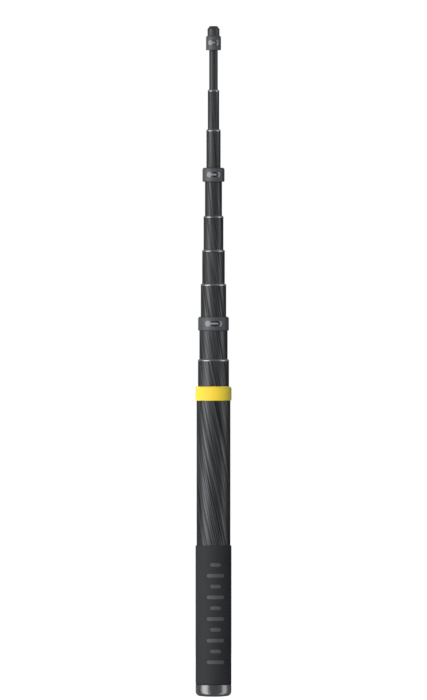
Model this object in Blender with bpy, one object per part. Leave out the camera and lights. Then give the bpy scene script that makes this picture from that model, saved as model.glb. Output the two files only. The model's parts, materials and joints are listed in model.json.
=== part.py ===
"""Telescoping camera pole: ten nested tubes with twist locks, a sleeve grip and a camera head.

Run with: blender --background --python part.py
Metres, +Z up along the pole. The origin is the centre of the flat butt face, and +X is to the
right when the pole is seen along +Y.

The pole is shown partly drawn out. Tubes are numbered from the handle tube (1) to the thin
head rod (10). Each tube slides in the tube below it, and is locked by twisting: a split ring
in the groove of its tail bush grips the bore of the tube around it.
"""

import math

import bmesh
import bpy

MM = 0.001

# Driving dimensions, in millimetres.
SECTIONS = 10
HANDLE_TUBE_DIAMETER = 33.8
TUBE_DIAMETER_STEP = 2.8
# Height of the top of each section's ferrule or collar above the butt face, as shown.
SECTION_TOP = (310.1, 337.4, 379.9, 412.8, 446.8, 480.8, 528.8, 567.2, 607.0, 661.0)
# Sections that end in a sleeve collar, with the collar's diameter and height.
COLLARS = {1: (36.0, 14.2), 3: (30.8, 14.0), 7: (22.1, 14.0)}
HEAD_DIAMETER = 15.0
HEAD_HEIGHT = 14.6
CAP_DIAMETER = 12.2
POLE_TOP = 670.4

FERRULE_HEIGHT = 2.0
FERRULE_PROUD = 0.15
FERRULE_CHAMFER = 1.1
COLLAR_LIP = 1.6
COLLAR_TOP_ROUND = 2.0
COLLAR_FOOT_ROUND = 0.9

# Running fit of one tube in the next: radial distances inwards from the outer tube's bore.
TUBE_CLEARANCE = 0.60
LINER_OUTSIDE = 0.05
LINER_INSIDE = 0.40
BUSH_INSIDE = 0.55
BUSH_GROOVE = 0.41
BUSH_FLANGE = 0.17
RING_INSIDE = 0.25
RING_OUTSIDE = 0.05
MOUTH_OPENING = 0.30

LINER_LENGTH = 10.0
BUSH_LENGTH = 10.0
BUSH_LOWER_FLANGE = 2.0
BUSH_UPPER_FLANGE = 2.0
RING_END_PLAY = 0.2

# Where the tails stand when the pole is closed: a little higher for each section.
LOWEST_TAIL = 27.6
TAIL_STAGGER = 0.6

# Handle end.
GRIP_DIAMETER = 36.0
GRIP_TOP = 151.1
GRIP_EDGE = 0.3
BUTT_CAP_DIAMETER = 36.0
BUTT_CAP_HEIGHT = 11.8
BUTT_CAP_ROUND = 4.8
BUTT_CAP_FLOOR = 3.5
# The flat disc that the pole stands on, and the rise of the cone round it, in degrees.
BUTT_FACE_DIAMETER = 16.0
BUTT_FACE_RISE = 5.0
SEAL_HEIGHT = 0.5
SEAL_DIAMETER = 35.2
SEAL_BORE = 27.2
TUBE_FOOT = 14.0
PLUG_TOP = 24.0
PLUG_SPIGOT_DIAMETER = 26.8
PLUG_FOOT = 3.8
PLUG_BORE = 22.0
PLUG_ROOF = 3.0
PAD_DIAMETER = 31.0
PAD_THICKNESS = 3.0

# Camera head: a quarter-inch stud in a core that is bonded into the rod.
ROD_WALL = 1.0
ROD_TOP = 651.7
STUD_DIAMETER = 6.35
STUD_FOOT = 653.3
STUD_TOP = 668.0
STUD_CHAMFER = 0.7
CORE_DIAMETER = 12.0
CORE_TOP = 659.9
CORE_FOOT = 635.7
HEAD_TOP_CHAMFER = 1.4
WASHER_THICKNESS = 1.0
CAP_CHAMFER_RUN = 2.4
CAP_CHAMFER_RISE = 2.9
CAP_BORE_DIAMETER = 6.9
CAP_ROOF = 1.9

# Clearance between pieces that are glued, pressed or rest on each other.
SEAT_GAP = 0.05

FACETS = 24
ROUND_STEPS = 3
SMOOTH_ANGLE = math.radians(30)
# Points of a turned outline closer than this are one point.
SAME_POINT = 0.0005

# Name: colour, roughness, metallic.
FINISHES = {
    "carbon_tube": ((0.034, 0.034, 0.036), 0.38, 0.0),
    "black_rod": ((0.030, 0.030, 0.032), 0.35, 0.6),
    "polished_ferrule": ((0.42, 0.42, 0.43), 0.22, 1.0),
    "grey_collar": ((0.095, 0.092, 0.090), 0.45, 0.2),
    "yellow_collar": ((0.90, 0.72, 0.09), 0.38, 0.0),
    "grip_rubber": ((0.045, 0.045, 0.046), 0.62, 0.0),
    "butt_metal": ((0.16, 0.16, 0.165), 0.28, 1.0),
    "black_cap": ((0.035, 0.035, 0.036), 0.50, 0.0),
    "guide_plastic": ((0.55, 0.55, 0.53), 0.45, 0.0),
    "bush_plastic": ((0.05, 0.05, 0.055), 0.50, 0.0),
    "spring_ring": ((0.60, 0.45, 0.25), 0.30, 1.0),
    "stud_steel": ((0.50, 0.50, 0.50), 0.25, 1.0),
    "core_metal": ((0.35, 0.35, 0.36), 0.35, 1.0),
    "seal_rubber": ((0.02, 0.02, 0.02), 0.80, 0.0),
}


def clear_scene():
    for item in list(bpy.data.objects):
        bpy.data.objects.remove(item, do_unlink=True)


def finish(name):
    """The Principled material of this name, made the first time it is asked for."""
    material = bpy.data.materials.get(name)
    if material is None:
        colour, roughness, metallic = FINISHES[name]
        material = bpy.data.materials.new(name)
        material.use_nodes = True
        shader = material.node_tree.nodes["Principled BSDF"]
        shader.inputs["Base Color"].default_value = (*colour, 1.0)
        shader.inputs["Roughness"].default_value = roughness
        shader.inputs["Metallic"].default_value = metallic
        material.diffuse_color = (*colour, 1.0)
    return material


def add_empty(name, height, parent=None):
    """An empty on the pole's axis, at this height above the butt face in millimetres."""
    empty = bpy.data.objects.new(name, None)
    bpy.context.scene.collection.objects.link(empty)
    empty.parent = parent
    below = parent["height"] if parent else 0.0
    empty["height"] = height
    empty.location = (0.0, 0.0, (height - below) * MM)
    return empty


def turned(name, outline, parent, material, facets=FACETS):
    """A piece turned about the pole's axis from (radius, height) points in millimetres.

    The outline is closed, unless it starts and ends on the axis. With fewer facets than a full
    turn holds, the piece is a split ring with flat ends.
    """
    mesh = bpy.data.meshes.new(name)
    shape = bmesh.new()
    base = parent["height"]
    points = [shape.verts.new((r * MM, 0.0, (z - base) * MM)) for r, z in outline]
    edges = [shape.edges.new(pair) for pair in zip(points, points[1:])]
    on_axis = outline[0][0] == 0.0
    if not on_axis:
        edges.append(shape.edges.new((points[-1], points[0])))
    bmesh.ops.spin(
        shape,
        geom=points + edges,
        cent=(0.0, 0.0, 0.0),
        axis=(0.0, 0.0, 1.0),
        angle=math.tau * facets / FACETS,
        steps=facets,
        use_merge=facets == FACETS,
    )
    bmesh.ops.remove_doubles(shape, verts=shape.verts, dist=SAME_POINT * MM)
    open_edges = [edge for edge in shape.edges if edge.is_boundary]
    if open_edges:
        bmesh.ops.holes_fill(shape, edges=open_edges, sides=0)
    bmesh.ops.recalc_face_normals(shape, faces=shape.faces)
    shape.to_mesh(mesh)
    shape.free()
    mesh.shade_smooth()
    mesh.set_sharp_from_angle(angle=SMOOTH_ANGLE)
    mesh.materials.append(finish(material))
    piece = bpy.data.objects.new(name, mesh)
    bpy.context.scene.collection.objects.link(piece)
    piece.parent = parent
    return piece


def sleeve(inside, outside, bottom, top):
    """The outline of a plain sleeve, from radii and heights."""
    return [(inside, bottom), (outside, bottom), (outside, top), (inside, top)]


def arc(centre, height, rounding, start, end):
    """Points round a centre at this radius and height, between two angles above outwards."""
    points = []
    for step in range(ROUND_STEPS + 1):
        angle = math.radians(start + (end - start) * step / ROUND_STEPS)
        across = centre + rounding * math.cos(angle)
        points.append((across, height + rounding * math.sin(angle)))
    return points


def tube_radius(section):
    return (HANDLE_TUBE_DIAMETER - TUBE_DIAMETER_STEP * (section - 1)) / 2


def bore_radius(section):
    """The bore of a tube, which holds the next tube with its running clearance."""
    if section == SECTIONS:
        return tube_radius(section) - ROD_WALL
    return tube_radius(section + 1) + TUBE_CLEARANCE


def top_height(section):
    """The height of a section's ferrule, collar or head."""
    if section == SECTIONS:
        return HEAD_HEIGHT
    if section in COLLARS:
        return COLLARS[section][1]
    return FERRULE_HEIGHT


def tail_height(section):
    """The height of a tube's open lower end, with the pole drawn out as shown."""
    closed_mouth = SECTION_TOP[0] + sum(top_height(lower) for lower in range(2, section))
    closed_tail = LOWEST_TAIL + TAIL_STAGGER * (section - 2)
    shoulder = SECTION_TOP[section - 1] - top_height(section)
    return shoulder - (closed_mouth - closed_tail)


def lip_thickness(section):
    """How much of the ferrule or collar covers the tube's upper end."""
    return COLLAR_LIP if section in COLLARS else FERRULE_HEIGHT


def tube_top(section):
    if section == SECTIONS:
        return ROD_TOP
    return SECTION_TOP[section - 1] - lip_thickness(section) - SEAT_GAP


def ferrule_outline(section):
    """A short ring on the tube's upper end, with a wide chamfer on its outer edge."""
    top = SECTION_TOP[section - 1]
    bottom = top - FERRULE_HEIGHT
    outside = tube_radius(section) + FERRULE_PROUD
    mouth = bore_radius(section) - MOUTH_OPENING
    return [
        (mouth, bottom),
        (outside, bottom),
        (outside, top - FERRULE_CHAMFER),
        (outside - FERRULE_CHAMFER, top),
        (mouth, top),
    ]


def collar_outline(section):
    """A sleeve round the tube's upper end, with a lip that covers the tube's edge."""
    diameter, height = COLLARS[section]
    top = SECTION_TOP[section - 1]
    bottom = top - height
    outside = diameter / 2
    mouth = bore_radius(section) - MOUTH_OPENING
    bore = tube_radius(section) + SEAT_GAP
    foot_centre = outside - COLLAR_FOOT_ROUND
    top_centre = outside - COLLAR_TOP_ROUND
    foot = arc(foot_centre, bottom + COLLAR_FOOT_ROUND, COLLAR_FOOT_ROUND, -90, 0)
    shoulder = arc(top_centre, top - COLLAR_TOP_ROUND, COLLAR_TOP_ROUND, 0, 90)
    inside = [(mouth, top), (mouth, top - COLLAR_LIP), (bore, top - COLLAR_LIP)]
    return [(bore, bottom)] + foot + shoulder + inside


def add_tube(section, parent):
    bottom = TUBE_FOOT if section == 1 else tail_height(section)
    outline = sleeve(bore_radius(section), tube_radius(section), bottom, tube_top(section))
    if section == 1:
        turned("main_tube", outline, parent, "carbon_tube")
    elif section == SECTIONS:
        turned(f"section_{section}_rod", outline, parent, "black_rod")
    else:
        turned(f"section_{section}_tube", outline, parent, "carbon_tube")


def add_mouth(section, parent):
    """The collar or ferrule on a tube's upper end, and the guide liner in its bore."""
    if section == 1:
        turned("yellow_collar", collar_outline(section), parent, "yellow_collar")
    elif section in COLLARS:
        name = f"section_{section}_lock_collar"
        turned(name, collar_outline(section), parent, "grey_collar")
    else:
        name = f"section_{section}_ferrule"
        turned(name, ferrule_outline(section), parent, "polished_ferrule")
    bore = bore_radius(section)
    top = tube_top(section)
    liner = sleeve(bore - LINER_INSIDE, bore - LINER_OUTSIDE, top - LINER_LENGTH, top)
    name = "main_tube_guide_liner" if section == 1 else f"section_{section}_guide_liner"
    turned(name, liner, parent, "guide_plastic")


def add_tail(section, parent, ring_parent):
    """The grooved bush on a tube's lower end, and the split lock ring in its groove."""
    bore = bore_radius(section - 1)
    bottom = tail_height(section)
    top = bottom + BUSH_LENGTH
    groove_bottom = bottom + BUSH_LOWER_FLANGE
    groove_top = top - BUSH_UPPER_FLANGE
    bush = [
        (bore - BUSH_INSIDE, bottom),
        (bore - BUSH_FLANGE, bottom),
        (bore - BUSH_FLANGE, groove_bottom),
        (bore - BUSH_GROOVE, groove_bottom),
        (bore - BUSH_GROOVE, groove_top),
        (bore - BUSH_FLANGE, groove_top),
        (bore - BUSH_FLANGE, top),
        (bore - BUSH_INSIDE, top),
    ]
    turned(f"section_{section}_tail_bush", bush, parent, "bush_plastic")
    ring = sleeve(
        bore - RING_INSIDE,
        bore - RING_OUTSIDE,
        groove_bottom + RING_END_PLAY,
        groove_top - RING_END_PLAY,
    )
    turned(f"section_{section}_lock_ring", ring, ring_parent, "spring_ring", FACETS - 1)


def add_butt_cap(parent):
    """A turned metal cup that screws onto the plug. Its underside is a flat disc with a shallow
    cone round it, which runs into the rounded lower edge."""
    outside = BUTT_CAP_DIAMETER / 2
    face = BUTT_FACE_DIAMETER / 2
    spigot = PLUG_SPIGOT_DIAMETER / 2 + SEAT_GAP
    centre = outside - BUTT_CAP_ROUND
    rise = math.radians(BUTT_FACE_RISE)
    cone_edge = centre + BUTT_CAP_ROUND * math.sin(rise)
    cone_height = (cone_edge - face) * math.tan(rise)
    centre_height = cone_height + BUTT_CAP_ROUND * math.cos(rise)
    corner = arc(centre, centre_height, BUTT_CAP_ROUND, BUTT_FACE_RISE - 90, 0)
    rim = [
        (outside, BUTT_CAP_HEIGHT),
        (spigot, BUTT_CAP_HEIGHT),
        (spigot, BUTT_CAP_FLOOR),
        (0.0, BUTT_CAP_FLOOR),
    ]
    turned("butt_cap", [(0.0, 0.0), (face, 0.0)] + corner + rim, parent, "butt_metal")


def add_butt_plug(parent):
    """A hollow plug bonded into the main tube, which carries the butt cap."""
    spigot = PLUG_SPIGOT_DIAMETER / 2
    body = bore_radius(1) - SEAT_GAP
    outline = [
        (0.0, PLUG_TOP),
        (body, PLUG_TOP),
        (body, TUBE_FOOT),
        (spigot, TUBE_FOOT),
        (spigot, PLUG_FOOT),
        (PLUG_BORE / 2, PLUG_FOOT),
        (PLUG_BORE / 2, PLUG_TOP - PLUG_ROOF),
        (0.0, PLUG_TOP - PLUG_ROOF),
    ]
    turned("butt_plug", outline, parent, "bush_plastic")


def add_grip(parent):
    """The sleeve round the lower half of the main tube, with both edges broken."""
    outside = GRIP_DIAMETER / 2
    inside = tube_radius(1) + SEAT_GAP
    bottom = BUTT_CAP_HEIGHT + SEAL_HEIGHT + 2 * SEAT_GAP
    outline = [
        (inside, bottom),
        (outside - GRIP_EDGE, bottom),
        (outside, bottom + GRIP_EDGE),
        (outside, GRIP_TOP - GRIP_EDGE),
        (outside - GRIP_EDGE, GRIP_TOP),
        (inside, GRIP_TOP),
    ]
    turned("handle_grip", outline, parent, "grip_rubber")


def add_handle_end(parent):
    add_butt_cap(parent)
    add_butt_plug(parent)
    add_grip(parent)
    seal_bottom = BUTT_CAP_HEIGHT + SEAT_GAP
    seal = sleeve(SEAL_BORE / 2, SEAL_DIAMETER / 2, seal_bottom, seal_bottom + SEAL_HEIGHT)
    turned("butt_seal_ring", seal, parent, "seal_rubber")
    pad_bottom = PLUG_TOP + SEAT_GAP
    pad = [
        (0.0, pad_bottom),
        (PAD_DIAMETER / 2, pad_bottom),
        (PAD_DIAMETER / 2, pad_bottom + PAD_THICKNESS),
        (0.0, pad_bottom + PAD_THICKNESS),
    ]
    turned("rattle_pad", pad, parent, "seal_rubber")


def add_head_collar(parent):
    """The sleeve of the camera head: it holds the rod's end and the core in one bore."""
    outside = HEAD_DIAMETER / 2
    top = SECTION_TOP[-1]
    bottom = top - HEAD_HEIGHT
    rod_bore = tube_radius(SECTIONS) + SEAT_GAP
    core_bore = CORE_DIAMETER / 2 + SEAT_GAP
    outline = [
        (rod_bore, bottom),
        (outside - COLLAR_FOOT_ROUND, bottom),
        (outside, bottom + COLLAR_FOOT_ROUND),
        (outside, top - HEAD_TOP_CHAMFER),
        (outside - HEAD_TOP_CHAMFER, top),
        (core_bore, top),
        (core_bore, ROD_TOP),
        (rod_bore, ROD_TOP),
    ]
    turned("head_collar", outline, parent, "grey_collar")


def add_head_core(parent):
    """The core that is bonded into the rod and takes the stud in its upper end."""
    spigot = bore_radius(SECTIONS) - SEAT_GAP
    stud_bore = STUD_DIAMETER / 2 + SEAT_GAP
    outline = [
        (0.0, CORE_FOOT),
        (spigot, CORE_FOOT),
        (spigot, ROD_TOP + SEAT_GAP),
        (CORE_DIAMETER / 2, ROD_TOP + SEAT_GAP),
        (CORE_DIAMETER / 2, CORE_TOP),
        (stud_bore, CORE_TOP),
        (stud_bore, STUD_FOOT - SEAT_GAP),
        (0.0, STUD_FOOT - SEAT_GAP),
    ]
    turned("head_core", outline, parent, "core_metal")


def add_camera_stud(parent):
    radius = STUD_DIAMETER / 2
    outline = [
        (0.0, STUD_FOOT),
        (radius, STUD_FOOT),
        (radius, STUD_TOP - STUD_CHAMFER),
        (radius - STUD_CHAMFER, STUD_TOP),
        (0.0, STUD_TOP),
    ]
    turned("camera_stud", outline, parent, "stud_steel")


def add_seat_washer(parent):
    bottom = CORE_TOP + SEAT_GAP
    inside = STUD_DIAMETER / 2 + SEAT_GAP
    outline = sleeve(inside, CORE_DIAMETER / 2, bottom, bottom + WASHER_THICKNESS)
    turned("seat_washer", outline, parent, "seal_rubber")


def add_tip_cap(parent):
    """The cap that covers the stud: it lifts off before a camera is fitted."""
    outside = CAP_DIAMETER / 2
    bottom = SECTION_TOP[-1] + SEAT_GAP
    bore = CAP_BORE_DIAMETER / 2
    outline = [
        (0.0, POLE_TOP),
        (outside - CAP_CHAMFER_RUN, POLE_TOP),
        (outside, POLE_TOP - CAP_CHAMFER_RISE),
        (outside, bottom),
        (bore, bottom),
        (bore, POLE_TOP - CAP_ROOF),
        (0.0, POLE_TOP - CAP_ROOF),
    ]
    turned("tip_cap", outline, parent, "black_cap")


def build_pole():
    clear_scene()
    handle = add_empty("handle_axis", 0.0)
    add_handle_end(handle)
    add_tube(1, handle)
    add_mouth(1, handle)
    below = handle
    for section in range(2, SECTIONS + 1):
        ring_axis = add_empty(f"section_{section}_lock_axis", tail_height(section), below)
        axis = add_empty(f"section_{section}_axis", tail_height(section), ring_axis)
        add_tube(section, axis)
        if section < SECTIONS:
            add_mouth(section, axis)
        add_tail(section, axis, ring_axis)
        below = axis
    add_head_collar(below)
    add_head_core(below)
    add_camera_stud(below)
    add_seat_washer(below)
    cap_axis = add_empty("tip_cap_axis", SECTION_TOP[-1], below)
    add_tip_cap(cap_axis)


build_pole()
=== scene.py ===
"""The looks of the telescoping camera pole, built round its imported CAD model.

Every CAD node is replaced by a finely turned piece with a procedural material. Each piece takes
its place and sizes from the node that it stands for.
"""

import json
import math

import bmesh
import bpy
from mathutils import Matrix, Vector


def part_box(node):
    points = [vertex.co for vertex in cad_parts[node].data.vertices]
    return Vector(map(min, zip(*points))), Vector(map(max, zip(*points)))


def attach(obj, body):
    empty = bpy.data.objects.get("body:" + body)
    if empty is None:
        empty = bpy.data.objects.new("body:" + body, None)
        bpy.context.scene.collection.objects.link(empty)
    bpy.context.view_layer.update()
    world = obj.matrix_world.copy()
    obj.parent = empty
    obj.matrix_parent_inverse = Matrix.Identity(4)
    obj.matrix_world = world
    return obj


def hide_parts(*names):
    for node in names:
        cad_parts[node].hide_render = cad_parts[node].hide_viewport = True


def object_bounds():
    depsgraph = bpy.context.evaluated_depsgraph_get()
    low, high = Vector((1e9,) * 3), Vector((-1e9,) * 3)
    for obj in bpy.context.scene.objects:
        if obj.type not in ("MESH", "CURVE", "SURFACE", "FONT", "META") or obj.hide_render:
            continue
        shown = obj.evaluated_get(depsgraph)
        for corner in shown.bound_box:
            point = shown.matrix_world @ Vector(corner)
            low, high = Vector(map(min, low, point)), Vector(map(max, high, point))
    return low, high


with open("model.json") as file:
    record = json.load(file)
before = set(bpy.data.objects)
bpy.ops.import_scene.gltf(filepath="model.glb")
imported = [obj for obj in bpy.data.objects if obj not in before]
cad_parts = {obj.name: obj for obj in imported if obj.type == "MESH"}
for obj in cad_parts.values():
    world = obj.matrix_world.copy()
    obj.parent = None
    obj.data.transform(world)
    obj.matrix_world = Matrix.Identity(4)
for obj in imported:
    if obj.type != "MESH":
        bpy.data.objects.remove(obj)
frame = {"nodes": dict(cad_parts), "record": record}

CAD_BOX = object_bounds()
RECORD = frame["record"]
SECTIONS = 10
MM = 0.001

# Two CAD sizes closer than this are the same size.
TOUCH = 0.02 * MM
# A turned CAD node has this many facets round it, and a lock ring lacks one of them.
CAD_FACETS = 24

# Fineness of the turned pieces and of the marks.
SEGMENTS = 144
FILLET_STEPS = 4
BUTT_FILLET_STEPS = 14
ROWS_A_THREAD = 16
STRIP_STEPS = 18
SMOOTH_ANGLE = math.radians(31)

# Camera: level with the pole, square on, from far enough away to look almost flat. The view's
# height and how far it reaches below the pole are measured at the pole.
VIEW_HEIGHT = 700.0 * MM
VIEW_BELOW_POLE = 3.45 * MM
CAMERA_DISTANCE = 12.0
SENSOR = 36.0

# Light: how bright the surroundings are as a light and in reflections, and the boxes' distance.
WORLD_LIGHT = 0.22
WORLD_LIGHT_TINT = (0.80, 1.0, 1.22)
WORLD_GLOSS = 0.15
WORLD_GLOSS_TINT = (0.96, 1.0, 1.05)
WHITE = (1.0, 1.0, 1.0)
BOX_DISTANCE = 1.6

# Floor: a sheet just under the pole, which glows white.
FLOOR_REACH = 12.0
FLOOR_DROP = 0.2 * MM
FLOOR_SHADE = (0.35, 0.35, 0.35)
FLOOR_ROUGHNESS = 0.9
FLOOR_GLOW = 1.0

# Roundings of the pieces' edges.
TUBE_EDGE = 0.12 * MM
LINER_EDGE = 0.08 * MM
LOCK_RING_EDGE = 0.05 * MM
BUSH_EDGE = 0.1 * MM
BUSH_GROOVE_EDGE = 0.06 * MM
FERRULE_FOOT = 0.08 * MM
FERRULE_SHOULDER = 0.25 * MM
FERRULE_CREST = 0.1 * MM
FERRULE_MOUTH = 0.06 * MM
COLLAR_EDGE = 0.1 * MM
HEAD_FOOT = 0.4 * MM
HEAD_SHOULDER = 0.7 * MM
CORE_FOOT = 0.6 * MM
CORE_EDGE = 0.3 * MM
RUBBER_EDGE = 0.2 * MM
BUTT_RIM = 0.2 * MM
BUTT_MOUTH = 0.15 * MM
BUTT_FLOOR = 0.3 * MM
PLUG_TOP = 0.5 * MM
PLUG_EDGE = 0.3 * MM
PLUG_ROOF = 1.0 * MM
PAD_FOOT = 0.6 * MM
PAD_TOP = 0.9 * MM
GRIP_FOOT = 0.3 * MM
GRIP_TOP = 0.25 * MM

# The camera stud's thread: it starts above the stud's foot and runs out past its shoulder.
STUD_PITCH = 1.27 * MM
STUD_DEPTH = 0.55 * MM
STUD_START = 0.8 * MM
STUD_PAST_SHOULDER = 0.4 * MM
STUD_RUN_OUT = 0.5 * MM

# The tip cap: a shallow screw-like grip above a plain foot that is set in a little.
CAP_PITCH = 2.3 * MM
CAP_DEPTH = 0.14 * MM
CAP_PAST_SHOULDER = 0.8 * MM
CAP_RUN_OUT = 0.6 * MM
CAP_FOOT_HEIGHT = 2.2 * MM
CAP_FOOT_INSET = 0.15 * MM
CAP_FOOT_SLOPE = 0.2 * MM
CAP_TOP_EDGE = 0.5 * MM

# How far a mark stands proud of its surface, how far a slot does, and how deep both are sunk.
MARK_PROUD = 0.05 * MM
SLOT_PROUD = 0.02 * MM
MARK_SUNK = 0.15 * MM

# The plain bars on the grip.
GRIP_MARKS = 10
GRIP_MARK_START = 22.3 * MM
GRIP_MARK_PITCH = 10.8 * MM
GRIP_MARK_SIDE = 2.2 * MM
GRIP_MARK_LONG = 18.0 * MM
GRIP_MARK_SHORT = 11.0 * MM
GRIP_MARK_THICKNESS = 3.6 * MM

# The lock mark. Its lengths round the collar grow with the collar's radius.
DIAL_SHARE = 0.07
DIAL_LEAST = 1.9 * MM
DIAL_REACH = 0.95
SLOT_SHARE = 0.33
SLOT_LESS = 0.6 * MM
SLOT_SIDE = 0.09
SLOT_HALF_HEIGHT = 2.7 * MM
BAR_SHIFT = 0.7 * MM
BAR_HALF_HEIGHT = 0.85 * MM
ARROW_GAP = 1.9 * MM
# The arrow's depth, half height and half stroke.
ARROW_SIZES = (1.4 * MM, 2.6 * MM, 0.75 * MM)

# Carbon tubes. The lean is from straight up, on the main tube, and the bands are counted across a
# metre of it. The powers say how strongly the bands narrow and fade as the tubes get thinner. The
# shades belong to the places in the noise, and a fainter pattern draws them towards the mean.
CARBON_LEAN = math.radians(13.0)
CARBON_BANDS = 640.0
CARBON_FIBRES = 1500.0
CARBON_BAND_RISE = 5.0
CARBON_FIBRE_RISE = 22.0
CARBON_FIBRE_SHARE = 0.6
CARBON_FINER = 0.6
CARBON_FAINTER = 0.4
CARBON_MEAN = 0.090
CARBON_PLACES = (0.38, 0.47, 0.53, 0.62)
CARBON_SHADES = (0.036, 0.078, 0.104, 0.160)

# Most of a noise's values lie between these two.
NOISE_LOW = 0.3
NOISE_HIGH = 0.7

# How deep the materials' grain is.
LATHE_GRAIN = 0.03 * MM
MOULD_GRAIN = 0.05 * MM
FIBRE_GRAIN = 0.06 * MM


# --------------------------------------------------------------------------------------------
# Reading the frame
# --------------------------------------------------------------------------------------------


def heights(node):
    """The lowest and highest point of a CAD node."""
    low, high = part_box(node)
    return low.z, high.z


def distinct(values):
    """The values in order, with those that are the same size taken once."""
    kept = []
    for value in sorted(values):
        if not kept or value > kept[-1] + TOUCH:
            kept.append(value)
    return kept


def ring_points(node):
    """The (radius, height) of each of a turned CAD node's points."""
    points = frame["nodes"][node].data.vertices
    return [(math.hypot(point.co.x, point.co.y), point.co.z) for point in points]


def radii(node):
    """The smallest and largest distance of a CAD node's points from the pole's axis."""
    distances = [radius for radius, _ in ring_points(node)]
    return min(distances), max(distances)


def distinct_radii(node):
    """The distinct radii of a turned CAD node's points, apart from a point on the axis."""
    return distinct(radius for radius, _ in ring_points(node) if radius > TOUCH)


def heights_at(node, radius):
    """The distinct heights of a CAD node's points at this distance from the axis."""
    return distinct(z for r, z in ring_points(node) if abs(r - radius) < TOUCH)


def radii_at(node, height):
    """The distinct radii of a CAD node's points at this height, apart from a point on the axis."""
    return distinct(r for r, z in ring_points(node) if abs(z - height) < TOUCH and r > TOUCH)


def lowest_above(node, height):
    """The (radius, height) of the lowest of a CAD node's points above this height."""
    higher = [point for point in ring_points(node) if point[1] > height + TOUCH]
    return min(higher, key=lambda point: point[1])


def body_of(node):
    """The body that a CAD node belongs to."""
    for body, members in RECORD["behaviour"]["bodies"].items():
        if node in members:
            return body
    raise KeyError(node)


def slot_of(node):
    """The material slot that the record gives a CAD node."""
    for entry in RECORD["subparts"]:
        if entry["node"] == node:
            return entry["material_slot"]
    raise KeyError(node)


# --------------------------------------------------------------------------------------------
# Turned meshes
# --------------------------------------------------------------------------------------------


def fillet(before, corner, after, radius, steps=FILLET_STEPS):
    """Points of an arc that rounds the corner between two straight runs."""
    corner = Vector(corner)
    back = (Vector(before) - corner).normalized()
    ahead = (Vector(after) - corner).normalized()
    half = back.angle(ahead) / 2
    reach = radius / math.tan(half)
    centre = corner + (back + ahead).normalized() * (radius / math.sin(half))
    start = corner + back * reach - centre
    sweep = math.pi - 2 * half
    turn = 1 if back.x * ahead.y - back.y * ahead.x < 0 else -1
    points = []
    for step in range(steps + 1):
        angle = turn * sweep * step / steps
        x = start.x * math.cos(angle) - start.y * math.sin(angle)
        y = start.x * math.sin(angle) + start.y * math.cos(angle)
        points.append((centre.x + x, centre.y + y))
    return points


def outline_of(corners, steps=FILLET_STEPS):
    """An outline from (radius, height, rounding) corners. It is closed unless it ends on the axis."""
    count = len(corners)
    points = []
    for index, (r, z, rounding) in enumerate(corners):
        if rounding:
            before = corners[index - 1][:2]
            after = corners[(index + 1) % count][:2]
            points += fillet(before, (r, z), after, rounding, steps)
        else:
            points.append((r, z))
    return points


def finished_mesh(name, shape):
    """The mesh of a bmesh shape, shaded smooth except at its sharp edges."""
    bmesh.ops.recalc_face_normals(shape, faces=shape.faces)
    mesh = bpy.data.meshes.new(name)
    shape.to_mesh(mesh)
    shape.free()
    mesh.shade_smooth()
    mesh.set_sharp_from_angle(angle=SMOOTH_ANGLE)
    return mesh


def turned_mesh(name, points, relief=None, turn=math.tau):
    """The mesh of an outline turned about the pole's axis.

    relief(radius, height, angle) gives the radius that a point has there. A turn of less than a
    full circle gets flat ends.
    """
    closed_turn = turn >= math.tau
    columns = SEGMENTS if closed_turn else SEGMENTS + 1
    solid = points[0][0] == 0.0
    shape = bmesh.new()
    grid = []
    for r, z in points:
        if r == 0.0:
            grid.append([shape.verts.new((0.0, 0.0, z))] * columns)
            continue
        ring = []
        for column in range(columns):
            angle = turn * column / SEGMENTS
            radius = relief(r, z, angle) if relief else r
            ring.append(shape.verts.new((radius * math.cos(angle), radius * math.sin(angle), z)))
        grid.append(ring)
    rows = len(grid) - 1 if solid else len(grid)
    for row in range(rows):
        lower, upper = grid[row], grid[(row + 1) % len(grid)]
        for column in range(SEGMENTS):
            after = (column + 1) % columns
            corners = [lower[column], lower[after], upper[after], upper[column]]
            unique = list(dict.fromkeys(corners))
            if len(unique) > 2:
                shape.faces.new(unique)
    if not closed_turn:
        for column in (0, columns - 1):
            shape.faces.new([ring[column] for ring in grid])
    return finished_mesh(name, shape)


def disc_rails(across, height, radius):
    """A round patch."""
    return pill_rails(across, height, radius, radius)


def pill_rails(across, height, half_length, half_width):
    """A patch with round ends that lies across the pole."""
    straight = half_length - half_width
    angles = [math.pi / 2 * step / STRIP_STEPS for step in range(1, STRIP_STEPS)]
    left = [(-straight - half_width * math.cos(angle), half_width * math.sin(angle)) for angle in angles]
    right = [(-x, reach) for x, reach in reversed(left)]
    middle_steps = STRIP_STEPS if straight > 0 else 0
    middle = [
        (-straight + 2 * straight * step / STRIP_STEPS, half_width) for step in range(middle_steps + 1)
    ]
    return [
        ((across + x, height - reach), (across + x, height + reach)) for x, reach in left + middle + right
    ]


def chevron_rails(across, height, depth, half_height, half_stroke):
    """A patch in the shape of a chevron that points to the right, from its foot to its top."""
    rails = []
    for step in range(-STRIP_STEPS, STRIP_STEPS + 1):
        share = step / STRIP_STEPS
        x = across + depth / 2 - depth * abs(share)
        z = height + half_height * share
        rails.append(((x - half_stroke, z), (x + half_stroke, z)))
    return rails


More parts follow.
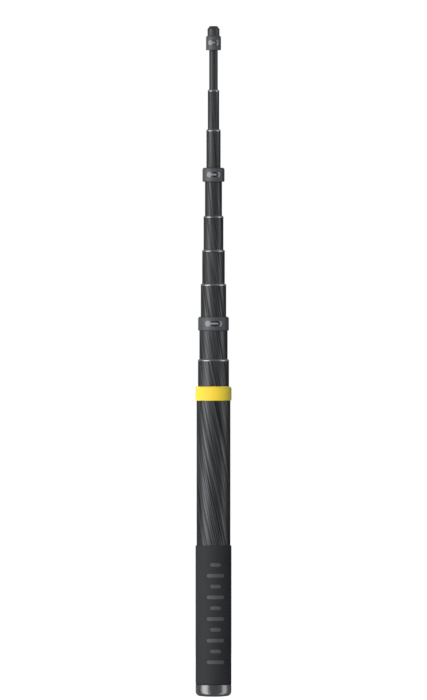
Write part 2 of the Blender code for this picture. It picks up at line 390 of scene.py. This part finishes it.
def wrapped_mesh(name, radius, layers):
    """Thin patches laid on a cylinder, on the camera's side of the pole.

    A layer is (patches, how far they stand proud, material index). A patch is a row of rails, each
    a pair of points (distance round the pole, height).
    """
    shape = bmesh.new()
    sunk = radius - MARK_SUNK

    def point(distance, height, at):
        angle = distance / radius - math.pi / 2
        return shape.verts.new((at * math.cos(angle), at * math.sin(angle), height))

    for patches, proud, index in layers:
        for rails in patches:
            loops = []
            for (x_a, z_a), (x_b, z_b) in rails:
                outer = (point(x_a, z_a, radius + proud), point(x_b, z_b, radius + proud))
                inner = (point(x_b, z_b, sunk), point(x_a, z_a, sunk))
                loops.append(outer + inner)
            faces = [shape.faces.new(loops[0]), shape.faces.new(loops[-1])]
            for loop, following in zip(loops, loops[1:]):
                for side in range(4):
                    after = (side + 1) % 4
                    corners = (loop[side], loop[after], following[after], following[side])
                    faces.append(shape.faces.new(corners))
            for face in faces:
                face.material_index = index
    return finished_mesh(name, shape)


def add_piece(name, mesh, body, slot, *materials):
    """A new piece that rides on a body, with its materials. The slot argument is not used."""
    piece = bpy.data.objects.new(name, mesh)
    bpy.context.scene.collection.objects.link(piece)
    for material in materials:
        mesh.materials.append(material)
    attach(piece, body)
    return piece


def stand_for(node, points, material, **turning):
    """A turned piece that takes the place of a CAD node."""
    name = node + "_fine"
    mesh = turned_mesh(name, points, **turning)
    piece = add_piece(name, mesh, body_of(node), slot_of(node), material)
    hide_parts(node)
    return piece


def sleeve_outline(node, rounding):
    """A plain sleeve with the node's sizes and softly broken edges."""
    low, high = heights(node)
    inside, outside = radii(node)
    return outline_of(
        [
            (inside, low, rounding),
            (outside, low, rounding),
            (outside, high, rounding),
            (inside, high, rounding),
        ]
    )


# --------------------------------------------------------------------------------------------
# Material nodes
# --------------------------------------------------------------------------------------------


class Looks:
    """A Principled material and short calls for the nodes that feed it."""

    def __init__(self, name, roughness, metallic=0.0):
        self.material = bpy.data.materials.new(name)
        self.material.use_nodes = True
        self.tree = self.material.node_tree
        self.shader = self.tree.nodes["Principled BSDF"]
        self.set("Roughness", roughness)
        self.set("Metallic", metallic)

    def set(self, label, value):
        """Gives one of the shader's own sockets a value that is the same all over."""
        self.shader.inputs[label].default_value = value

    def node(self, kind, **settings):
        """A new shader node of this kind."""
        made = self.tree.nodes.new("ShaderNode" + kind)
        for label, value in settings.items():
            setattr(made, label, value)
        return made

    def link(self, source, target):
        self.tree.links.new(source, target)

    def place(self):
        """Object coordinates, in metres, with the pole's axis on Z."""
        return self.node("TexCoord").outputs["Object"]

    def stretched(self, vector, scale):
        """The place scaled along each axis."""
        mapping = self.node("Mapping")
        mapping.inputs["Scale"].default_value = scale
        self.link(vector, mapping.inputs["Vector"])
        return mapping.outputs["Vector"]

    def twisted(self, vector, turn_per_metre):
        """The place turned about the pole's axis in step with its height, so that what is straight
        up the pole there runs as a helix on it."""
        apart = self.node("SeparateXYZ")
        self.link(vector, apart.inputs["Vector"])
        angle = self.node("Math", operation="MULTIPLY")
        self.link(apart.outputs["Z"], angle.inputs[0])
        angle.inputs[1].default_value = turn_per_metre
        turn = self.node("VectorRotate", rotation_type="Z_AXIS")
        self.link(vector, turn.inputs["Vector"])
        self.link(angle.outputs["Value"], turn.inputs["Angle"])
        return turn.outputs["Vector"]

    def noise(self, vector, scale, detail=2.0, rough=0.5):
        """Noise that is the same size in every direction."""
        noise = self.node("TexNoise")
        noise.inputs["Scale"].default_value = scale
        noise.inputs["Detail"].default_value = detail
        noise.inputs["Roughness"].default_value = rough
        self.link(vector, noise.inputs["Vector"])
        return noise.outputs["Fac"]

    def streaks(self, vector, scale, detail=2.0, rough=0.5):
        """Noise that is drawn out along the axis with the smallest scale."""
        return self.noise(self.stretched(vector, scale), 1.0, detail, rough)

    def blend(self, first, second, share):
        """A mix of two values: share 0 is the first and 1 the second."""
        mix = self.node("Mix", data_type="FLOAT")
        mix.inputs["Factor"].default_value = share
        self.link(first, mix.inputs["A"])
        self.link(second, mix.inputs["B"])
        return mix.outputs["Result"]

    def ramp(self, value, *stops):
        """A colour ramp from (position, colour) stops."""
        ramp = self.node("ValToRGB")
        elements = ramp.color_ramp.elements
        while len(elements) < len(stops):
            elements.new(0.5)
        for element, (position, colour) in zip(elements, stops):
            element.position = position
            element.color = (*colour, 1.0)
        self.link(value, ramp.inputs["Fac"])
        return ramp.outputs["Color"]

    def colour(self, value, *stops):
        """Colours the surface by a value."""
        self.link(self.ramp(value, *stops), self.shader.inputs["Base Color"])

    def two_tone(self, noise, dark, light):
        """Colours the surface between two tones by a noise."""
        self.colour(noise, (NOISE_LOW, dark), (NOISE_HIGH, light))

    def roughness(self, noise, low, high):
        """Varies the roughness between two values by a noise."""
        remap = self.node("MapRange")
        remap.inputs["From Min"].default_value = NOISE_LOW
        remap.inputs["From Max"].default_value = NOISE_HIGH
        remap.inputs["To Min"].default_value = low
        remap.inputs["To Max"].default_value = high
        self.link(noise, remap.inputs["Value"])
        self.link(remap.outputs["Result"], self.shader.inputs["Roughness"])

    def bump(self, source, strength, distance):
        """Raises the surface by a value."""
        bump = self.node("Bump")
        bump.inputs["Strength"].default_value = strength
        bump.inputs["Distance"].default_value = distance
        self.link(source, bump.inputs["Height"])
        self.link(bump.outputs["Normal"], self.shader.inputs["Normal"])


def grey(value):
    """A dark neutral with the faint blue of daylight."""
    return (value * 0.99, value, value * 1.03)


def carbon_looks(name, radius):
    """Unidirectional carbon under a satin lacquer: long fibre streaks in broad wound bands.

    Every tube has the main tube's twist, and the thinner a tube, the finer and fainter its bands.
    """
    main_radius = radii("main_tube")[-1]
    share = radius / main_radius
    twist = math.tan(CARBON_LEAN) / main_radius
    across = CARBON_BANDS * share ** -CARBON_FINER
    contrast = share ** CARBON_FAINTER
    shades = [grey(CARBON_MEAN * (shade / CARBON_MEAN) ** contrast) for shade in CARBON_SHADES]
    looks = Looks(name, roughness=0.36, metallic=0.70)
    looks.set("Specular IOR Level", 0.2)
    looks.set("Specular Tint", (0.3, 0.3, 0.3, 1.0))
    wound = looks.twisted(looks.place(), twist)
    bands = looks.streaks(wound, (across, across, CARBON_BAND_RISE), detail=0.0)
    fibre_scale = (CARBON_FIBRES, CARBON_FIBRES, CARBON_FIBRE_RISE)
    fibres = looks.streaks(wound, fibre_scale, detail=1.0, rough=0.6)
    pattern = looks.blend(bands, fibres, CARBON_FIBRE_SHARE)
    looks.colour(pattern, *zip(CARBON_PLACES, shades))
    looks.roughness(pattern, 0.46, 0.32)
    looks.bump(fibres, 0.35, FIBRE_GRAIN)
    return looks.material


def drawn_metal(name, shade, roughness, metallic):
    """Dark anodised tube with faint lines along its length."""
    looks = Looks(name, roughness, metallic)
    lines = looks.streaks(looks.place(), (2600.0, 2600.0, 30.0), detail=3.0)
    looks.two_tone(lines, grey(shade * 0.8), grey(shade * 1.25))
    looks.roughness(lines, roughness - 0.05, roughness + 0.08)
    looks.bump(lines, 0.12, LATHE_GRAIN)
    return looks.material


def turned_metal(name, shade, roughness, tint=(1.0, 1.0, 1.02)):
    """Bright metal with the fine rings that a lathe leaves, and a little cloudiness."""
    looks = Looks(name, roughness, metallic=1.0)
    rings = looks.streaks(looks.place(), (60.0, 60.0, 5200.0), detail=3.0, rough=0.6)
    cloud = looks.noise(looks.place(), 160.0, detail=3.0)
    pattern = looks.blend(rings, cloud, 0.35)
    dark = tuple(shade * 0.86 * part for part in tint)
    light = tuple(shade * 1.12 * part for part in tint)
    looks.colour(pattern, (0.32, dark), (0.68, light))
    looks.roughness(pattern, roughness - 0.06, roughness + 0.09)
    looks.bump(rings, 0.18, LATHE_GRAIN)
    return looks.material


def moulded(name, dark, light, roughness, grain=3800.0, depth=0.25, metallic=0.0, specular=0.5):
    """Moulded plastic or rubber: a fine even grain, with slow changes of tone."""
    looks = Looks(name, roughness, metallic)
    looks.set("Specular IOR Level", specular)
    fine = looks.noise(looks.place(), grain, detail=3.0, rough=0.6)
    slow = looks.streaks(looks.place(), (70.0, 70.0, 34.0))
    looks.two_tone(looks.blend(fine, slow, 0.5), dark, light)
    looks.roughness(fine, roughness - 0.07, roughness + 0.08)
    looks.bump(fine, depth, MOULD_GRAIN)
    return looks.material


def ribbed(name, dark, light, roughness):
    """A collar's lacquered surface with very fine turned ribs round it."""
    looks = Looks(name, roughness)
    looks.set("Specular IOR Level", 0.3)
    looks.set("Diffuse Roughness", 1.0)
    rings = looks.streaks(looks.place(), (18.0, 18.0, 1700.0), rough=0.6)
    fine = looks.noise(looks.place(), 2600.0)
    pattern = looks.blend(rings, fine, 0.4)
    looks.two_tone(pattern, dark, light)
    looks.roughness(pattern, roughness - 0.06, roughness + 0.08)
    looks.bump(pattern, 0.2, MOULD_GRAIN)
    return looks.material


def printed(name, dark, light, roughness, specular=0.5):
    """A mark's smooth paint."""
    return moulded(name, dark, light, roughness, depth=0.1, specular=specular)


GREY_COLLAR = moulded("grey_collar_looks", grey(0.088), grey(0.116), 0.43, metallic=0.30)
YELLOW_COLLAR = ribbed("yellow_collar_looks", (0.95, 0.700, 0.050), (0.99, 0.750, 0.064), 0.50)
GRIP = moulded("grip_looks", grey(0.028), grey(0.035), 0.62, grain=2600.0, depth=0.4, specular=0.2)
BLACK_CAP = moulded("black_cap_looks", grey(0.094), grey(0.122), 0.39, metallic=0.74)
SEAL_RUBBER = moulded("seal_rubber_looks", grey(0.010), grey(0.018), 0.75)
GUIDE_PLASTIC = moulded("guide_plastic_looks", (0.50, 0.50, 0.47), (0.60, 0.60, 0.57), 0.42)
BUSH_PLASTIC = moulded("bush_plastic_looks", grey(0.040), grey(0.060), 0.48)
MARK_LIGHT = printed("mark_light_looks", grey(0.23), grey(0.29), 0.45)
# Painted shade: the lock mark's slot is flat, and this near-black stands in for the shade of a sunk slot.
MARK_SLOT_SHADE = printed("mark_slot_shade_looks", grey(0.008), grey(0.013), 0.55)
MARK_ARROW = printed("mark_arrow_looks", grey(0.36), grey(0.43), 0.45)
GRIP_MARK = printed("grip_mark_looks", grey(0.078), grey(0.088), 0.5, specular=0.3)
FERRULE = turned_metal("ferrule_looks", 0.66, 0.26)
BUTT_METAL = turned_metal("butt_metal_looks", 0.37, 0.27)
CORE_METAL = turned_metal("core_metal_looks", 0.40, 0.34)
STUD_STEEL = turned_metal("stud_steel_looks", 0.55, 0.28)
SPRING_RING = turned_metal("spring_ring_looks", 0.72, 0.28, tint=(1.0, 0.78, 0.45))
BLACK_ROD = drawn_metal("black_rod_looks", 0.080, 0.32, 0.70)


# --------------------------------------------------------------------------------------------
# Handle end
# --------------------------------------------------------------------------------------------


def add_butt_cap():
    """A metal cup with a rounded lower edge and a slightly crowned underside."""
    low, high = heights("butt_cap")
    bore, outside = radii_at("butt_cap", high)
    face = radii_at("butt_cap", low)[-1]
    floor = heights_at("butt_cap", bore)[0]
    edge, edge_height = lowest_above("butt_cap", low)
    rise = math.atan2(edge_height - low, edge - face)
    corner = low + (outside - face) * math.tan(rise)
    wall = heights_at("butt_cap", outside)[0]
    rounding = (wall - corner) * math.tan((math.pi / 2 + rise) / 2)
    corners = [
        (0.0, low, 0),
        (face, low, 0),
        (outside, corner, rounding),
        (outside, high, BUTT_RIM),
        (bore, high, BUTT_MOUTH),
        (bore, floor, BUTT_FLOOR),
        (0.0, floor, 0),
    ]
    stand_for("butt_cap", outline_of(corners, BUTT_FILLET_STEPS), BUTT_METAL)


def add_butt_plug():
    """The plug in the main tube's foot, with the spigot that the butt cap screws onto."""
    low, high = heights("butt_plug")
    bore, spigot, body = distinct_radii("butt_plug")
    shoulder = heights_at("butt_plug", body)[0]
    roof = heights_at("butt_plug", bore)[-1]
    corners = [
        (0.0, high, 0),
        (body, high, PLUG_TOP),
        (body, shoulder, PLUG_EDGE),
        (spigot, shoulder, PLUG_EDGE),
        (spigot, low, PLUG_EDGE),
        (bore, low, PLUG_EDGE),
        (bore, roof, PLUG_ROOF),
        (0.0, roof, 0),
    ]
    stand_for("butt_plug", outline_of(corners), BUSH_PLASTIC)


def add_rattle_pad():
    """The soft disc on the plug, which the tubes' tails meet when the pole is closed."""
    low, high = heights("rattle_pad")
    _, outside = radii("rattle_pad")
    corners = [(0.0, low, 0), (outside, low, PAD_FOOT), (outside, high, PAD_TOP), (0.0, high, 0)]
    stand_for("rattle_pad", outline_of(corners), SEAL_RUBBER)


def add_rubber_ring(node):
    """A flat ring that seals a joint or seats the camera."""
    stand_for(node, sleeve_outline(node, RUBBER_EDGE), SEAL_RUBBER)


def add_grip():
    """The smooth sleeve, with softly rounded outer edges."""
    low, high = heights("handle_grip")
    inside, outside = radii("handle_grip")
    corners = [
        (inside, low, 0),
        (outside, low, GRIP_FOOT),
        (outside, high, GRIP_TOP),
        (inside, high, 0),
    ]
    stand_for("handle_grip", outline_of(corners), GRIP)


def add_grip_marks():
    """A ladder of plain raised bars along the front of the grip, long and short by turns."""
    low, _ = heights("handle_grip")
    _, outside = radii("handle_grip")
    strips = []
    for index in range(GRIP_MARKS):
        height = low + GRIP_MARK_START + index * GRIP_MARK_PITCH
        reach = GRIP_MARK_LONG if index % 2 == 0 else GRIP_MARK_SHORT
        strips.append(pill_rails(GRIP_MARK_SIDE, height, reach / 2, GRIP_MARK_THICKNESS / 2))
    mesh = wrapped_mesh("grip_marks", outside, [(strips, MARK_PROUD, 0)])
    add_piece("grip_marks", mesh, "handle", slot_of("handle_grip"), GRIP_MARK)


# --------------------------------------------------------------------------------------------
# Sections
# --------------------------------------------------------------------------------------------


def add_carbon_tube(node):
    """A tube with a carbon pattern that fits its own radius."""
    _, outside = radii(node)
    stand_for(node, sleeve_outline(node, TUBE_EDGE), carbon_looks(node + "_carbon", outside))


def add_ferrule(node):
    """A short bright ring whose outer edge is a wide chamfer."""
    low, high = heights(node)
    mouth, _ = radii(node)
    _, crest, outside = distinct_radii(node)
    shoulder = heights_at(node, outside)[-1]
    corners = [
        (mouth, low, 0),
        (outside, low, FERRULE_FOOT),
        (outside, shoulder, FERRULE_SHOULDER),
        (crest, high, FERRULE_CREST),
        (mouth, high, FERRULE_MOUTH),
    ]
    stand_for(node, outline_of(corners), FERRULE)


def add_collar(node, material):
    """A sleeve with a lip over the tube's end."""
    low, high = heights(node)
    _, outside = radii(node)
    bore, foot = radii_at(node, low)
    mouth, crest = radii_at(node, high)
    lip = heights_at(node, mouth)[0]
    corners = [
        (bore, low, COLLAR_EDGE),
        (outside, low, outside - foot),
        (outside, high, outside - crest),
        (mouth, high, COLLAR_EDGE),
        (mouth, lip, 0),
        (bore, lip, 0),
    ]
    stand_for(node, outline_of(corners), material)


def add_bush(node):
    """The grooved bush on a tube's tail."""
    low, high = heights(node)
    inside, groove, flange = distinct_radii(node)
    groove_low, groove_high = heights_at(node, groove)
    corners = [
        (inside, low, 0),
        (flange, low, BUSH_EDGE),
        (flange, groove_low, BUSH_GROOVE_EDGE),
        (groove, groove_low, 0),
        (groove, groove_high, 0),
        (flange, groove_high, BUSH_GROOVE_EDGE),
        (flange, high, BUSH_EDGE),
        (inside, high, 0),
    ]
    stand_for(node, outline_of(corners), BUSH_PLASTIC)


def add_lock_ring(node):
    """A split spring ring: its slot is one CAD facet wide."""
    turn = math.tau * (CAD_FACETS - 1) / CAD_FACETS
    stand_for(node, sleeve_outline(node, LOCK_RING_EDGE), SPRING_RING, turn=turn)


def add_liner(node):
    """The guide liner in a tube's mouth."""
    stand_for(node, sleeve_outline(node, LINER_EDGE), GUIDE_PLASTIC)


def add_main_section():
    """The handle's tube, with its collar and liner."""
    add_carbon_tube("main_tube")
    add_collar("yellow_collar", YELLOW_COLLAR)
    add_liner("main_tube_guide_liner")


def add_sliding_section(section):
    """One of the sections that are drawn out; the last is a plain rod with nothing in it."""
    prefix = f"section_{section}_"
    add_bush(prefix + "tail_bush")
    add_lock_ring(prefix + "lock_ring")
    if section == SECTIONS:
        rod = prefix + "rod"
        stand_for(rod, sleeve_outline(rod, TUBE_EDGE), BLACK_ROD)
        return
    add_carbon_tube(prefix + "tube")
    add_liner(prefix + "guide_liner")
    if prefix + "lock_collar" in frame["nodes"]:
        add_collar(prefix + "lock_collar", GREY_COLLAR)
        add_lock_mark(prefix + "lock_collar", prefix + "lock_mark")
    else:
        add_ferrule(prefix + "ferrule")


def add_lock_mark(node, name):
    """A plain turn-to-lock sign inlaid in a collar: a dial, a slot with a bar, and a chevron. The slot
    lies flat, and its near-black is painted shade of a sunk slot.
    """
    low, high = heights(node)
    _, outside = radii(node)
    middle = (low + high) / 2
    dial = DIAL_SHARE * outside + DIAL_LEAST
    slot = SLOT_SHARE * outside - SLOT_LESS
    side = SLOT_SIDE * outside
    # Painted shade: the slot lies flat, coloured near-black as if it were sunk into the collar.
    dark = [pill_rails(side, middle, slot, min(slot, SLOT_HALF_HEIGHT))]
    light = [
        disc_rails(side - slot - dial * DIAL_REACH, middle, dial),
        pill_rails(side - BAR_SHIFT, middle, slot, BAR_HALF_HEIGHT),
    ]
    arrow = chevron_rails(side + slot + ARROW_GAP, middle, *ARROW_SIZES)
    layers = [(light, MARK_PROUD, 0), (dark, SLOT_PROUD, 1), ([arrow], MARK_PROUD, 2)]
    mesh = wrapped_mesh(name, outside, layers)
    add_piece(name, mesh, body_of(node), slot_of(node), MARK_LIGHT, MARK_SLOT_SHADE, MARK_ARROW)


# --------------------------------------------------------------------------------------------
# Camera head
# --------------------------------------------------------------------------------------------


def add_head_collar():
    """The grey collar under the camera stud, with a chamfer round its top."""
    node = "head_collar"
    low, high = heights(node)
    rod_bore, core_bore, crest, _, outside = distinct_radii(node)
    shoulder = heights_at(node, outside)[-1]
    step = heights_at(node, core_bore)[0]
    corners = [
        (rod_bore, low, COLLAR_EDGE),
        (outside, low, HEAD_FOOT),
        (outside, shoulder, HEAD_SHOULDER),
        (crest, high, 0),
        (core_bore, high, 0),
        (core_bore, step, 0),
        (rod_bore, step, 0),
    ]
    stand_for(node, outline_of(corners), GREY_COLLAR)
    add_lock_mark(node, "head_lock_mark")


def add_head_core():
    """The metal core that joins the rod, the head collar and the stud."""
    node = "head_core"
    low, high = heights(node)
    stud_bore, spigot, body = distinct_radii(node)
    shoulder = heights_at(node, body)[0]
    floor = heights_at(node, stud_bore)[0]
    corners = [
        (0.0, low, 0),
        (spigot, low, CORE_FOOT),
        (spigot, shoulder, 0),
        (body, shoulder, CORE_EDGE),
        (body, high, CORE_EDGE),
        (stud_bore, high, 0),
        (stud_bore, floor, 0),
        (0.0, floor, 0),
    ]
    stand_for(node, outline_of(corners), CORE_METAL)


def thread_relief(crest, depth, pitch, low, high, run_out):
    """Sinks a right-hand thread's grooves into the wall at the crest radius, between two heights."""

    def relief(radius, height, angle):
        if radius < crest - depth:
            return radius
        phase = math.tau * height / pitch - angle
        inside = min(height - low, high - height) / run_out
        share = max(0.0, min(1.0, inside))
        return radius - depth * share * (0.5 - 0.5 * math.cos(phase))

    return relief


def wall_rows(radius, start, end, pitch):
    """Points up or down a straight wall, close enough together to carry a thread."""
    rows = math.ceil(abs(end - start) / pitch * ROWS_A_THREAD)
    return [(radius, start + (end - start) * row / rows) for row in range(rows + 1)]


def add_camera_stud():
    """The threaded stud that a camera screws onto."""
    node = "camera_stud"
    low, high = heights(node)
    crest, outside = distinct_radii(node)
    shoulder = heights_at(node, outside)[-1]
    wall = wall_rows(outside, low, shoulder, STUD_PITCH)
    points = [(0.0, low)] + wall + [(crest, high), (0.0, high)]
    start, end = low + STUD_START, shoulder + STUD_PAST_SHOULDER
    relief = thread_relief(outside, STUD_DEPTH, STUD_PITCH, start, end, STUD_RUN_OUT)
    stand_for(node, points, STUD_STEEL, relief=relief)


def add_tip_cap():
    """The cap over the stud; its wall has a coarse screw-like grip above a short plain foot."""
    node = "tip_cap"
    low, high = heights(node)
    bore, crest, outside = distinct_radii(node)
    shoulder = heights_at(node, outside)[-1]
    roof = heights_at(node, bore)[-1]
    foot = low + CAP_FOOT_HEIGHT
    wall = wall_rows(outside, shoulder, foot, CAP_PITCH)
    top = fillet((0.0, high), (crest, high), (outside, shoulder), CAP_TOP_EDGE)
    neck = outside - CAP_FOOT_INSET
    points = [(0.0, high)] + top + wall
    points += [(neck, foot - CAP_FOOT_SLOPE), (neck, low), (bore, low), (bore, roof), (0.0, roof)]
    end = shoulder + CAP_PAST_SHOULDER
    relief = thread_relief(outside, CAP_DEPTH, CAP_PITCH, foot, end, CAP_RUN_OUT)
    stand_for(node, points, BLACK_CAP, relief=relief)


# --------------------------------------------------------------------------------------------
# Studio
# --------------------------------------------------------------------------------------------


def add_camera():
    """The camera in front of the pole, whose view fills the picture's height."""
    data = bpy.data.cameras.new("camera")
    data.sensor_width = SENSOR
    data.lens = SENSOR * CAMERA_DISTANCE / VIEW_HEIGHT
    camera = bpy.data.objects.new("camera", data)
    bpy.context.scene.collection.objects.link(camera)
    lowest = CAD_BOX[0][2] - VIEW_BELOW_POLE
    camera.location = (0.0, -CAMERA_DISTANCE, lowest + VIEW_HEIGHT / 2)
    camera.rotation_euler = (math.pi / 2, 0.0, 0.0)
    bpy.context.scene.camera = camera


def add_softbox(name, azimuth, spread, height, radiance, diffuse=True, gloss=True):
    """A rectangular light level with the middle of the pole and aimed at it.

    The azimuth is counted from the camera's side, to the right; the spread is the angle that the
    box fills across, as the pole sees it. Both are in degrees.
    """
    middle = Vector((0.0, 0.0, (CAD_BOX[0][2] + CAD_BOX[1][2]) / 2))
    across = math.radians(azimuth)
    outward = Vector((math.sin(across), -math.cos(across), 0.0))
    width = 2 * BOX_DISTANCE * math.tan(math.radians(spread) / 2)
    data = bpy.data.lights.new(name, "AREA")
    data.shape = "RECTANGLE"
    data.size = width
    data.size_y = height
    data.energy = radiance * math.pi * width * height
    box = bpy.data.objects.new(name, data)
    bpy.context.scene.collection.objects.link(box)
    box.location = middle + outward * BOX_DISTANCE
    box.rotation_euler = (-outward).to_track_quat("-Z", "Y").to_euler()
    box.visible_camera = False
    box.visible_diffuse = diffuse
    box.visible_glossy = gloss


def add_softboxes():
    """Boxes that are only seen in reflections, and boxes that only light the surfaces."""
    add_softbox("left_box", azimuth=-58.0, spread=44.0, height=6.0, radiance=1.35, diffuse=False)
    add_softbox("right_box", azimuth=76.0, spread=34.0, height=6.0, radiance=0.86, diffuse=False)
    add_softbox("rear_box", azimuth=-142.0, spread=56.0, height=2.6, radiance=0.08, diffuse=False)
    add_softbox("key_box", azimuth=-39.0, spread=75.0, height=2.4, radiance=2.75, gloss=False)
    add_softbox("rim_box", azimuth=-135.0, spread=60.0, height=2.4, radiance=1.6, gloss=False)
    add_softbox("back_box", azimuth=152.0, spread=44.0, height=2.4, radiance=1.5, gloss=False)


def background(tree, tint, strength):
    """A background node of a world's tree."""
    made = tree.nodes.new("ShaderNodeBackground")
    made.inputs["Color"].default_value = (*tint, 1.0)
    made.inputs["Strength"].default_value = strength
    return made


def add_world():
    """White to the camera; much dimmer as a light and in reflections."""
    world = bpy.data.worlds.new("studio")
    bpy.context.scene.world = world
    world.use_nodes = True
    tree = world.node_tree
    tree.nodes.clear()
    seen = background(tree, WHITE, 1.0)
    lit = background(tree, WORLD_LIGHT_TINT, WORLD_LIGHT)
    mirrored = background(tree, WORLD_GLOSS_TINT, WORLD_GLOSS)
    path = tree.nodes.new("ShaderNodeLightPath")
    by_gloss = tree.nodes.new("ShaderNodeMixShader")
    by_camera = tree.nodes.new("ShaderNodeMixShader")
    output = tree.nodes.new("ShaderNodeOutputWorld")
    tree.links.new(path.outputs["Is Glossy Ray"], by_gloss.inputs["Fac"])
    tree.links.new(lit.outputs["Background"], by_gloss.inputs[1])
    tree.links.new(mirrored.outputs["Background"], by_gloss.inputs[2])
    tree.links.new(path.outputs["Is Camera Ray"], by_camera.inputs["Fac"])
    tree.links.new(by_gloss.outputs["Shader"], by_camera.inputs[1])
    tree.links.new(seen.outputs["Background"], by_camera.inputs[2])
    tree.links.new(by_camera.outputs["Shader"], output.inputs["Surface"])


def add_floor():
    """A pale sheet that glows white, as a lit product table does, and casts no light."""
    mesh = bpy.data.meshes.new("floor")
    reach = FLOOR_REACH
    corners = [(-reach, -reach, 0.0), (reach, -reach, 0.0), (reach, reach, 0.0), (-reach, reach, 0.0)]
    mesh.from_pydata(corners, [], [(0, 1, 2, 3)])
    floor = bpy.data.objects.new("floor", mesh)
    bpy.context.scene.collection.objects.link(floor)
    floor.location.z = CAD_BOX[0][2] - FLOOR_DROP
    looks = Looks("floor_looks", FLOOR_ROUGHNESS)
    looks.set("Base Color", (*FLOOR_SHADE, 1.0))
    looks.set("Specular IOR Level", 0.0)
    looks.set("Emission Color", (*WHITE, 1.0))
    looks.set("Emission Strength", FLOOR_GLOW)
    mesh.materials.append(looks.material)
    floor.visible_diffuse = False
    floor.visible_glossy = False


def build_pole():
    """Every piece of the pole, from its foot to its head."""
    add_butt_cap()
    add_butt_plug()
    add_rattle_pad()
    add_rubber_ring("butt_seal_ring")
    add_grip()
    add_grip_marks()
    add_main_section()
    for section in range(2, SECTIONS + 1):
        add_sliding_section(section)
    add_head_collar()
    add_head_core()
    add_camera_stud()
    add_rubber_ring("seat_washer")
    add_tip_cap()


def build_studio():
    """The camera, the floor and the light."""
    add_camera()
    add_floor()
    add_world()
    add_softboxes()
    bpy.context.scene.view_settings.view_transform = "Standard"


build_pole()
build_studio()
